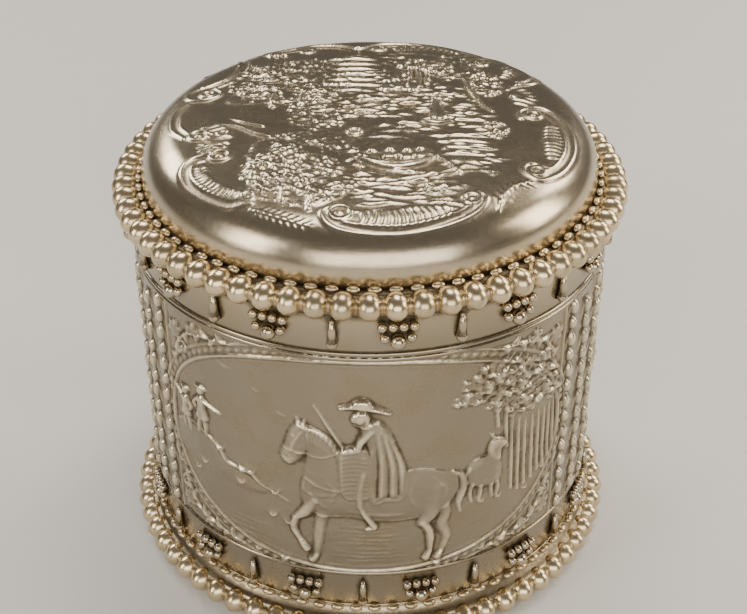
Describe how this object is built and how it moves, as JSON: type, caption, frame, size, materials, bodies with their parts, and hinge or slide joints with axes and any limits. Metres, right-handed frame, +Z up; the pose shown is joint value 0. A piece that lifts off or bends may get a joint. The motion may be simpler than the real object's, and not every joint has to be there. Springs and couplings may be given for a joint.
{
  "type": "covered sugar box",
  "caption": "Round silver sugar box with a beaded foot, chased panels on the wall, grape borders and a domed lift-off lid with a chased scene.",
  "frame": {"origin": "on the table, under the centre of the foot", "axes": "+Z up along the axis of the box, -Y towards the front panel"},
  "size_m": [0.1104, 0.1103, 0.0982],
  "materials": {
    "polished_silver": "polished",
    "chased_silver": "gloss"
  },
  "bodies": {
    "box": {"body_tube": "chased_silver", "base_plate": "polished_silver", "collar": "polished_silver", "body_rim_wire": "polished_silver", "body_border_wire": "polished_silver", "foot_ring": "polished_silver", "foot_pearls": "polished_silver", "foot_fine_beads": "polished_silver", "foot_grapes": "polished_silver", "foot_drops": "polished_silver"},
    "lid": {"lid_skirt": "polished_silver", "lid_rim_wire": "polished_silver", "lid_flange": "polished_silver", "lid_pearls": "polished_silver", "lid_fine_beads": "polished_silver", "lid_dome": "chased_silver", "lid_grapes": "polished_silver", "lid_drops": "polished_silver"}
  },
  "joints": [
    {"name": "lid_lift", "type": "slide", "parent": "box", "child": "lid", "axis": [0, 0, 1], "range_m": [0, 0.08]}
  ]
}
